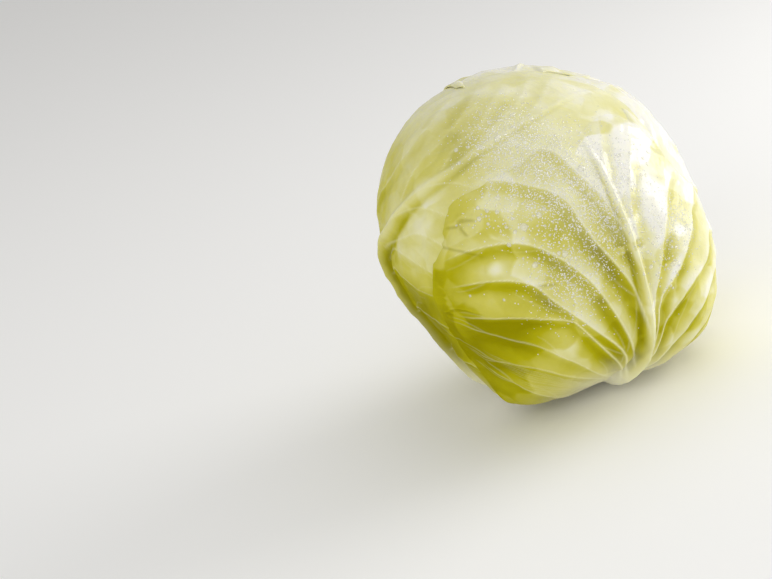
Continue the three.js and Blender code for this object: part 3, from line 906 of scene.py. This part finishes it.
def addBump(tree, shader, height, strength, distance):
    bump = addNode(tree, "Bump", {"Height": height, "Strength": strength, "Distance": distance})
    tree.links.new(bump.outputs["Normal"], shader.inputs["Normal"])


def addSockets(tree, way, kinds):
    for name, kind in kinds.items():
        tree.interface.new_socket(name, in_out=way, socket_type="NodeSocket" + kind)


skinLook = {   # scales per metre
    "bendScale": 30, "bend": 0.024, "patchEdge": 0.2, "cloudScale": 42, "grainScale": 700, "poreScale": 150,
    "grain": 0.35,
}


# Patches where the wax lies thicker or thinner, their lighter tone partly a painted reflection, soft clouds
# and the fine grain of the skin
def buildLeafSkin():
    tree = bpy.data.node_groups.new("leafSkin", "ShaderNodeTree")
    addSockets(tree, "INPUT", {"Vector": "Vector", "Patch Scale": "Float"})
    addSockets(tree, "OUTPUT", {"Patch": "Float", "Cloud": "Float", "Height": "Float"})
    given, made = tree.nodes.new("NodeGroupInput"), tree.nodes.new("NodeGroupOutput")
    place = given.outputs["Vector"]
    bend = noise(tree, place, skinLook["bendScale"])["Color"]
    inputs = {0: bend, 1: (skinLook["bend"],) * 3, 2: place}
    moved = addNode(tree, "VectorMath", inputs, operation="MULTIPLY_ADD").outputs[0]
    inputs = {"Vector": moved, "Scale": given.outputs["Patch Scale"], "Smoothness": skinLook["patchEdge"]}
    cells = addNode(tree, "TexVoronoi", inputs, feature="SMOOTH_F1")
    patch = addNode(tree, "SeparateColor", {0: cells.outputs["Color"]}).outputs[0]
    cloud = noise(tree, place, skinLook["cloudScale"], 4)["Fac"]
    grain = noise(tree, place, skinLook["grainScale"], 3)["Fac"]
    pores = noise(tree, place, skinLook["poreScale"], 3)["Fac"]
    height = maths(tree, "ADD", maths(tree, "MULTIPLY", grain, skinLook["grain"]), pores)
    setInputs(tree, made, {"Patch": patch, "Cloud": cloud, "Height": height})
    return tree


# From the deep olive tissue to the pale waxed one, and each leaf's tones at its painted-shade and
# painted-light ends
leafTones = [
    (0.0, (0.28, 0.255, 0.0003)), (0.3, (0.44, 0.405, 0.006)), (0.55, (0.605, 0.56, 0.10)),
    (0.78, (0.75, 0.72, 0.35)), (1.0, (0.90, 0.88, 0.76)),
]
# Painted light: the tone rises to the right and up, where the light falls; the end tones also set each
# leaf's own paleness
paintedLightAndPaleness = {   # height to the right and up where the tone starts and ends, and the tones there
    "leaf_front": (-0.07, 0.10, 0.22, 0.95),
    "leaf_left": (-0.11, 0.05, 0.30, 0.82),
    "leaf_right": (-0.04, 0.08, 0.60, 1.0),
    "leaf_back": (-0.05, 0.09, 0.40, 0.95),
    "leaf_under": (-0.05, 0.10, 0.30, 0.80),
}
# how far the wax patches move the tone, partly a painted reflection
leafPatches = {
    "leaf_front": 0.28, "leaf_right": 0.24, "leaf_left": 0.15, "leaf_back": 0.17, "leaf_under": 0.2,
}
leafMarks = [   # mask, how strongly it shows, its colour
    # the midrib's own creamy foot, painted lighter still against the shade that falls on it
    ("foot", 0.75, (0.95, 0.92, 0.76, 1)),
    ("vein", 0.85, (0.86, 0.84, 0.60, 1)),
    # painted shade in the grooves of cuts and folds
    ("creaseShade", 0.38, (0.24, 0.22, 0.0, 1)),
]
leafFinish = {
    "patchScale": 62, "cloud": 0.5, "valley": 0.55, "rightward": 0.75, "upward": 0.7,
    "veilColour": (0.93, 0.92, 0.80, 1), "mistVeil": 0.12,
    # painted sheen: cream laid over the lit side of each leaf
    "paintedSheen": (0.6, 0.95, 0.0, 0.2),   # tone where it starts and ends, and how much there
    "wax": (0.35, 1.0, 0.04, 0.75),   # the same for the gloss
    "bump": (0.7, 0.0005),   # strength, height in metres
    "shader": {
        "Roughness": 0.4, "Specular IOR Level": 0.0, "Coat Roughness": 0.15,
        "Subsurface Weight": 0.2, "Subsurface Radius": (0.9, 0.8, 0.1), "Subsurface Scale": 0.003,
    },
}


# How far a mask of 0 to 1 lies from its middle, times the amount
def spread(tree, value, amount):
    return maths(tree, "MULTIPLY", maths(tree, "SUBTRACT", value, 0.5), amount)


def toneScale(tree, tone):
    scale = addNode(tree, "ValToRGB", {0: tone})
    stops = scale.color_ramp.elements
    stops[0].position, stops[0].color = leafTones[0][0], (*leafTones[0][1], 1)
    stops[1].position, stops[1].color = leafTones[-1][0], (*leafTones[-1][1], 1)
    for position, colour in leafTones[1:-1]:
        stops.new(position).color = (*colour, 1)
    return scale.outputs[0]


def leafMaterial(name, skin):
    low, high, deepest, palest = paintedLightAndPaleness[name]
    material, tree, shader = newMaterial(name + "_skin")
    place = objectPlace(tree)
    fine = addNode(tree, "Group", {}, node_tree=skin)
    setInputs(tree, fine, {"Vector": place, "Patch Scale": leafFinish["patchScale"]})
    axes = axesOf(tree, place)
    # painted light: the tone grows lighter towards the crown and the right, where the light falls
    side = maths(tree, "MULTIPLY", axes["X"], leafFinish["rightward"])
    rise = maths(tree, "SUBTRACT", axes["Z"], head["centreHeight"] / 1000)
    rise = maths(tree, "MULTIPLY", rise, leafFinish["upward"])
    lit = ramp(tree, maths(tree, "ADD", side, rise), low, high, deepest, palest)
    patch = spread(tree, fine.outputs["Patch"], leafPatches[name])
    cloud = spread(tree, fine.outputs["Cloud"], leafFinish["cloud"])
    tone = maths(tree, "ADD", lit, maths(tree, "ADD", patch, cloud))
    tone = maths(tree, "ADD", tone, mask(tree, "tone"))
    # painted shade behind the side veins and in the midrib's groove
    valley = maths(tree, "MULTIPLY", mask(tree, "valley"), leafFinish["valley"])
    colour = toneScale(tree, maths(tree, "SUBTRACT", tone, valley))
    for mark, strength, over in leafMarks:
        colour = mixColour(tree, maths(tree, "MULTIPLY", mask(tree, mark), strength), colour, over)
    # a cream veil where the mist lies, and a painted sheen over the lit side
    mistAndPaintedSheen = maths(tree, "MULTIPLY", mask(tree, "mist"), leafFinish["mistVeil"])
    mistAndPaintedSheen = maths(tree, "ADD", mistAndPaintedSheen, ramp(tree, lit, *leafFinish["paintedSheen"]))
    colour = mixColour(tree, mistAndPaintedSheen, colour, leafFinish["veilColour"])
    # the wax is thickest where the painted light and the patches are palest
    wax = ramp(tree, maths(tree, "ADD", lit, patch), *leafFinish["wax"])
    setInputs(tree, shader, {"Base Color": colour, "Coat Weight": wax, **leafFinish["shader"]})
    addBump(tree, shader, fine.outputs["Height"], *leafFinish["bump"])
    return material


def innerMaterial(look):
    material, tree, shader = newMaterial("inner_leaf_skin")
    clouds = noise(tree, objectPlace(tree), look["scale"], look["detail"])["Fac"]
    colour = mixColour(tree, clouds, look["light"], look["dark"])
    setInputs(tree, shader, {"Base Color": colour, **look["shader"]})
    addBump(tree, shader, clouds, *look["bump"])
    return material


# Cut stalk: pale pith inside a ring of strands, and a browned, corky rim
stalkColours = {
    "pith": (0.80, 0.75, 0.50, 1), "strands": (0.62, 0.52, 0.26, 1), "dry": (0.52, 0.38, 0.18, 1),
    "side": (0.74, 0.72, 0.42, 1),
}
stalkFinish = {   # metres, and scales per metre
    "ringRadius": 0.0125, "ringWidth": 0.0022, "rim": (0.0165, 0.018), "face": (0.0008, 0.0025),
    "fibreScale": 900, "blotchScale": 90, "bump": (0.6, 0.0005),
    "shader": {
        "Roughness": 0.75, "Specular IOR Level": 0.25, "Subsurface Weight": 0.15, "Subsurface Scale": 0.003,
    },
}


def stalkMaterial():
    material, tree, shader = newMaterial("stalk_flesh")
    place = objectPlace(tree)
    axes = axesOf(tree, place)
    squares = [maths(tree, "MULTIPLY", axes[axis], axes[axis]) for axis in "XY"]
    radius = maths(tree, "SQRT", maths(tree, "ADD", *squares))
    fibres = noise(tree, place, stalkFinish["fibreScale"], 4)["Fac"]
    blotches = noise(tree, place, stalkFinish["blotchScale"], 5)["Fac"]
    away = maths(tree, "ABSOLUTE", maths(tree, "SUBTRACT", radius, stalkFinish["ringRadius"]))
    ring = ramp(tree, away, 0.0, stalkFinish["ringWidth"], 1.0, 0.0)
    ring = maths(tree, "MULTIPLY", ring, ramp(tree, fibres, 0.35, 0.6))
    rim = ramp(tree, radius, *stalkFinish["rim"])
    rim = maths(tree, "MULTIPLY", rim, ramp(tree, blotches, 0.3, 0.65, 0.25, 1.0))
    face = ramp(tree, axes["Z"], *stalkFinish["face"], 1.0, 0.0)
    dried = maths(tree, "MULTIPLY", ramp(tree, blotches, 0.5, 0.75, 0.0, 0.5), face)
    colour = mixColour(tree, face, stalkColours["side"], stalkColours["pith"])
    colour = mixColour(tree, maths(tree, "MULTIPLY", ring, face), colour, stalkColours["strands"])
    colour = mixColour(tree, maths(tree, "MAXIMUM", rim, dried), colour, stalkColours["dry"])
    setInputs(tree, shader, {"Base Color": colour, **stalkFinish["shader"]})
    addBump(tree, shader, fibres, *stalkFinish["bump"])
    return material


# A finer piece in a node's place: its solid merged, its edges rounded, then divided and roughened
def refineNode(node, name, look, material):
    deselect()
    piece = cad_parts[node].copy()
    piece.data = piece.data.copy()
    piece.parent = None
    for key in list(piece.keys()):
        del piece[key]
    bpy.context.scene.collection.objects.link(piece)
    activate(piece)
    named(name)
    bpy.ops.object.mode_set(mode="EDIT")
    bpy.ops.mesh.select_all(action="SELECT")
    bpy.ops.mesh.remove_doubles(threshold=0.00002)
    bpy.ops.mesh.normals_make_consistent(inside=False)
    bpy.ops.object.mode_set(mode="OBJECT")
    if look["bevel"]:
        rounding = piece.modifiers.new("rounding", "BEVEL")
        rounding.width, rounding.segments = look["bevel"], 2
        rounding.limit_method = "ANGLE"
        rounding.angle_limit = radians(50)
        bpy.ops.object.modifier_apply(modifier=rounding.name)
    finer = piece.modifiers.new("finer", "SUBSURF")
    finer.subdivision_type = look["division"]
    finer.levels = finer.render_levels = look["levels"]
    bpy.ops.object.modifier_apply(modifier=finer.name)
    places = placesIn(piece)
    rng = np.random.default_rng(look["seed"])
    sheet = np.stack([np.arctan2(places[:, 0], -places[:, 1]) * 18, places[:, 2] * 1000], -1)
    fromAxis = places * (1, 1, 0)
    outward = fromAxis / np.maximum(np.linalg.norm(fromAxis, axis=1, keepdims=True), 0.001)
    above = smooth(places[:, 2], 0.001, 0.003)
    places += outward * (look["rough"] * above * waves(sheet, rng, 6, 2.5, 9))[:, None]
    setPlaces(piece, places)
    print("refined", node, len(piece.data.polygons))
    return finishPiece(piece, material, node)


stalkLook = {"bevel": 0.0006, "division": "SIMPLE", "levels": 2, "rough": 0.00018, "seed": 41}
innerLook = {
    "bevel": 0, "division": "CATMULL_CLARK", "levels": 2, "rough": 0.0, "seed": 43,
    "light": (0.80, 0.78, 0.42, 1), "dark": (0.70, 0.67, 0.25, 1), "scale": 40, "detail": 6,
    "shader": {"Roughness": 0.45, "Subsurface Weight": 0.2, "Subsurface Scale": 0.004},
    "bump": (0.4, 0.0006),   # strength, height in metres
}


# Larger drops seen in the picture: place in pixels and width in pixels
drops = {
    "seen": [
        (582, 168, 6.3), (598, 176, 5.6), (571, 182, 5), (531, 119, 5), (542, 124, 3.4), (525, 127, 3.5),
        (498, 138, 6), (481, 147, 5.5), (456, 150, 5), (468, 147, 4), (500, 120, 4), (512, 115, 5),
        (459, 163, 4), (498, 198, 5.4), (620, 155, 3.5), (630, 153, 3.8), (620, 164, 3.5), (648, 152, 5.4),
        (643, 158, 4), (647, 164, 3.6), (641, 175, 3.6), (646, 175, 3.6), (624, 175, 3), (629, 180, 3),
        (524, 227, 8), (539, 215, 6), (565, 254, 6), (535, 265, 5.8), (479, 219, 5.3), (544, 209, 4.8),
        (509, 245, 5), (515, 232, 4.5), (478, 208, 4.3), (487, 211, 4), (497, 212, 4), (488, 224, 3.5),
        (506, 227, 3.5), (559, 253, 4), (512, 214, 3), (512, 219, 3), (523, 239, 3.5), (539, 259, 3),
        (566, 238, 3), (545, 226, 3), (550, 235, 3), (556, 229, 3.5), (591, 213, 3), (598, 212, 3.5),
        (583, 199, 3), (653, 243, 4), (657, 237, 4), (648, 252, 4), (651, 267, 4.5), (673, 264, 5),
        (679, 264, 5), (672, 247, 3.5), (676, 247, 3.5), (672, 241, 3), (666, 265, 3), (678, 275, 3),
        (671, 286, 3.5), (667, 288, 3), (673, 288, 3), (659, 273, 3), (607, 192, 4), (603, 204, 4),
        (617, 156, 4), (632, 189, 3), (541, 290, 3), (470, 296, 3), (504, 300, 3),
    ],
    "scattered": [   # middle and reach in pixels, how many
        (540, 150, 60, 34, 90), (600, 215, 45, 50, 120), (560, 270, 40, 34, 70),
        (662, 260, 20, 32, 50), (500, 115, 40, 20, 30), (500, 215, 44, 26, 30),
    ],
    "smallWidth": (1.6, 2.9),
    "height": 0.36,   # of the width
    "sunk": 0.1,   # of the width
    "pixel": 0.0005,   # metres
    "seed": 21,
}


def cameraRay(axes, x, y):
    focal = view["lens"] / 36 * view["picture"][0]
    toward = Vector(((x - view["picture"][0] / 2) / focal, (view["picture"][1] / 2 - y) / focal, -1))
    return (axes @ toward).normalized()


# The outermost leaf along a ray: where it is met and which way it faces
def surfaceAlong(trees, start, toward):
    hits = [tree.ray_cast(start, toward) for tree in trees]
    hits = [hit for hit in hits if hit[0] is not None]
    return min(hits, key=lambda hit: hit[3])[:2] if hits else None


# One bead, repeated over the places given with its own size, lying on the surface
def layBeads(name, levels, places, material, rng):
    deselect()
    bpy.ops.mesh.primitive_ico_sphere_add(subdivisions=levels, radius=0.5)
    bead = named(name)
    corners = np.array([tuple(vertex.co) for vertex in bead.data.vertices])
    faces = np.array([tuple(face.vertices) for face in bead.data.polygons])
    flat = 2 * drops["height"]
    allCorners, allFaces = [], []
    for i, (where, normal, size) in enumerate(places):
        turn = np.array(normal.to_track_quat("Z", "Y").to_matrix())
        spin = rng.random() * 2 * pi
        stretch = np.array([size * (1 + 0.25 * rng.random()), size, size * flat])
        shaped = corners * stretch
        spun = np.stack([
            shaped[:, 0] * cos(spin) - shaped[:, 1] * sin(spin),
            shaped[:, 0] * sin(spin) + shaped[:, 1] * cos(spin),
            shaped[:, 2] - drops["sunk"] * size,
        ], 1)
        allCorners.append(spun @ turn.T + np.array(where))
        allFaces.append(faces + i * len(corners))
    bpy.data.objects.remove(bead)
    mesh = bpy.data.meshes.new(name)
    mesh.from_pydata(np.vstack(allCorners).tolist(), [], np.vstack(allFaces).tolist())
    piece = bpy.data.objects.new(name, mesh)
    bpy.context.scene.collection.objects.link(piece)
    print(name, len(places))
    return finishPiece(piece, material, None)


# A width between the two given, more often near the lower
def anyWidth(limits, rng):
    low, high = limits
    return low + (high - low) * rng.random() ** 2


def makeDrops(trees, material):
    camera = bpy.context.scene.camera
    spot, axes = camera.matrix_world.translation, camera.matrix_world.to_3x3()
    rng = np.random.default_rng(drops["seed"])
    pixels = list(drops["seen"])
    for x, y, reachX, reachY, count in drops["scattered"]:
        for _ in range(count):
            across, down = rng.normal(x, reachX / 2), rng.normal(y, reachY / 2)
            pixels.append((across, down, anyWidth(drops["smallWidth"], rng)))
    places = []
    for x, y, width in pixels:
        met = surfaceAlong(trees, spot, cameraRay(axes, x, y))
        if met:
            places.append((*met, width * drops["pixel"]))
    layBeads("water_drops", 2, places, material, rng)


def makeMist(trees, material):
    rng = np.random.default_rng(mist["seed"])
    centre = Vector((0, 0, head["centreHeight"] / 1000))
    places = []
    for azimuth, elevation, reach, density in mist["spots"]:
        middle = wayAt(azimuth, elevation)
        for _ in range(int(mist["perSquareDegree"] * density * reach ** 2)):
            way = unit(middle + radians(reach) * 0.6 * rng.normal(size=3))
            met = surfaceAlong(trees, centre + Vector(way) * 0.2, -Vector(way))
            if met:
                places.append((*met, anyWidth(mist["width"], rng)))
    layBeads("water_mist", 1, places, material, rng)


# the drops' pale tint is painted light: it stands in for the glints and the light that clear water gathers
waterLook = {
    "light": (1.0, 0.99, 0.94, 1), "dark": (0.90, 0.89, 0.72, 1), "cloudScale": 120,
    "edgeBlend": 0.35, "edgeShare": 0.7, "dropOpacity": 0.5, "mistOpacity": 0.88,
    "shader": {"Roughness": 0.08, "Specular IOR Level": 1.0, "Coat Weight": 1.0, "Coat Roughness": 0.03},
}


def waterMaterial(name, opacity):
    material, tree, shader = newMaterial(name)
    cloudy = noise(tree, objectPlace(tree), waterLook["cloudScale"])["Fac"]
    tint = mixColour(tree, cloudy, waterLook["light"], waterLook["dark"])
    facing = addNode(tree, "LayerWeight", {"Blend": waterLook["edgeBlend"]}).outputs["Facing"]
    clear = ramp(tree, facing, 0.0, 1.0, opacity, waterLook["edgeShare"] * opacity)
    setInputs(tree, shader, {"Base Color": tint, "Alpha": clear, **waterLook["shader"]})
    return material


# Camera and light
view = {
    "elevation": 18.0,
    "roll": -16.0,
    "lens": 100.0,
    "distance": 1.078,
    "headPixel": (547.0, 235.0),
    "picture": (772.0, 579.0),
}


def cameraAxes():
    back = wayAt(0, view["elevation"])
    right = np.array([1.0, 0, 0])
    up = np.cross(back, right)
    a = radians(view["roll"])
    right, up = cos(a) * right + sin(a) * up, -sin(a) * right + cos(a) * up
    return right, up, back


def placeCamera():
    right, up, back = cameraAxes()
    centre = np.array([0, 0, head["centreHeight"] / 1000])
    spot = centre + back * view["distance"]
    focal = view["lens"] / 36 * view["picture"][0]
    dx = (view["headPixel"][0] - view["picture"][0] / 2) / focal
    dy = (view["picture"][1] / 2 - view["headPixel"][1]) / focal
    # turn the camera so that the head's centre falls on its own pixel
    yaw, pitch = atan2(dx, 1), atan2(dy, sqrt(1 + dx * dx))
    turn = Matrix.Rotation(-yaw, 3, "Y") @ Matrix.Rotation(pitch, 3, "X")
    axes = Matrix((right, up, back)).transposed() @ turn.transposed()
    data = bpy.data.cameras.new("camera")
    data.lens = view["lens"]
    data.sensor_width = 36
    data.clip_end = 20
    camera = bpy.data.objects.new("camera", data)
    bpy.context.scene.collection.objects.link(camera)
    camera.matrix_world = Matrix.Translation(Vector(spot)) @ axes.to_4x4()
    bpy.context.scene.camera = camera
    return centre


lights = {   # place from the head's centre in metres, size, power, colour
    "window": ((0.95, 0.30, 0.26), (0.7, 0.55), 6.7, (1, 0.985, 0.95)),
    "ceiling": ((0.4, 0.2, 1.7), (2.6, 2.6), 7.5, (1, 1, 1)),
    "card": ((-0.5, -1.5, 0.5), (1.8, 1.4), 10, (1, 1, 1)),
}
room = {
    "air": (1, 0.99, 0.97, 1), "airStrength": 0.54, "floor": (0.95, 0.95, 0.945, 1), "floorRoughness": 0.8,
}


def areaLight(name, spot, target, size, power, colour):
    data = bpy.data.lights.new(name, "AREA")
    data.shape = "RECTANGLE"
    data.size, data.size_y = size
    data.energy = power
    data.color = colour
    lamp = bpy.data.objects.new(name, data)
    bpy.context.scene.collection.objects.link(lamp)
    facing = Vector(spot - target).to_track_quat("Z", "Y").to_matrix().to_4x4()
    lamp.matrix_world = Matrix.Translation(Vector(spot)) @ facing


def setLights(centre):
    for name, (offset, size, power, colour) in lights.items():
        areaLight(name, centre + np.array(offset), centre, size, power, colour)
    world = bpy.data.worlds.new("studio")
    bpy.context.scene.world = world
    world.use_nodes = True
    background = world.node_tree.nodes["Background"]
    background.inputs["Color"].default_value = room["air"]
    background.inputs["Strength"].default_value = room["airStrength"]
    bpy.context.scene.view_settings.view_transform = "Standard"


def makeFloor():
    deselect()
    bpy.ops.mesh.primitive_plane_add(size=12)
    floor = named("floor")
    material, tree, shader = newMaterial("floor_paint")
    setInputs(tree, shader, {"Base Color": room["floor"], "Roughness": room["floorRoughness"]})
    floor.data.materials.append(material)


setLights(placeCamera())
makeFloor()
print("camera, lights and floor")

for leaf in leaves:
    prepareLeaf(leaf)
skin = buildLeafSkin()
leafPieces = [makeLeaf(index, leafMaterial(leaf["node"], skin)) for index, leaf in enumerate(leaves)]
graph = bpy.context.evaluated_depsgraph_get()
trees = [BVHTree.FromObject(piece, graph) for piece in leafPieces]
makeDrops(trees, waterMaterial("water", waterLook["dropOpacity"]))
makeMist(trees, waterMaterial("fine_water", waterLook["mistOpacity"]))
refineNode("inner_head", "inner_leaves", innerLook, innerMaterial(innerLook))
refineNode("stalk", "stalk_flesh", stalkLook, stalkMaterial())
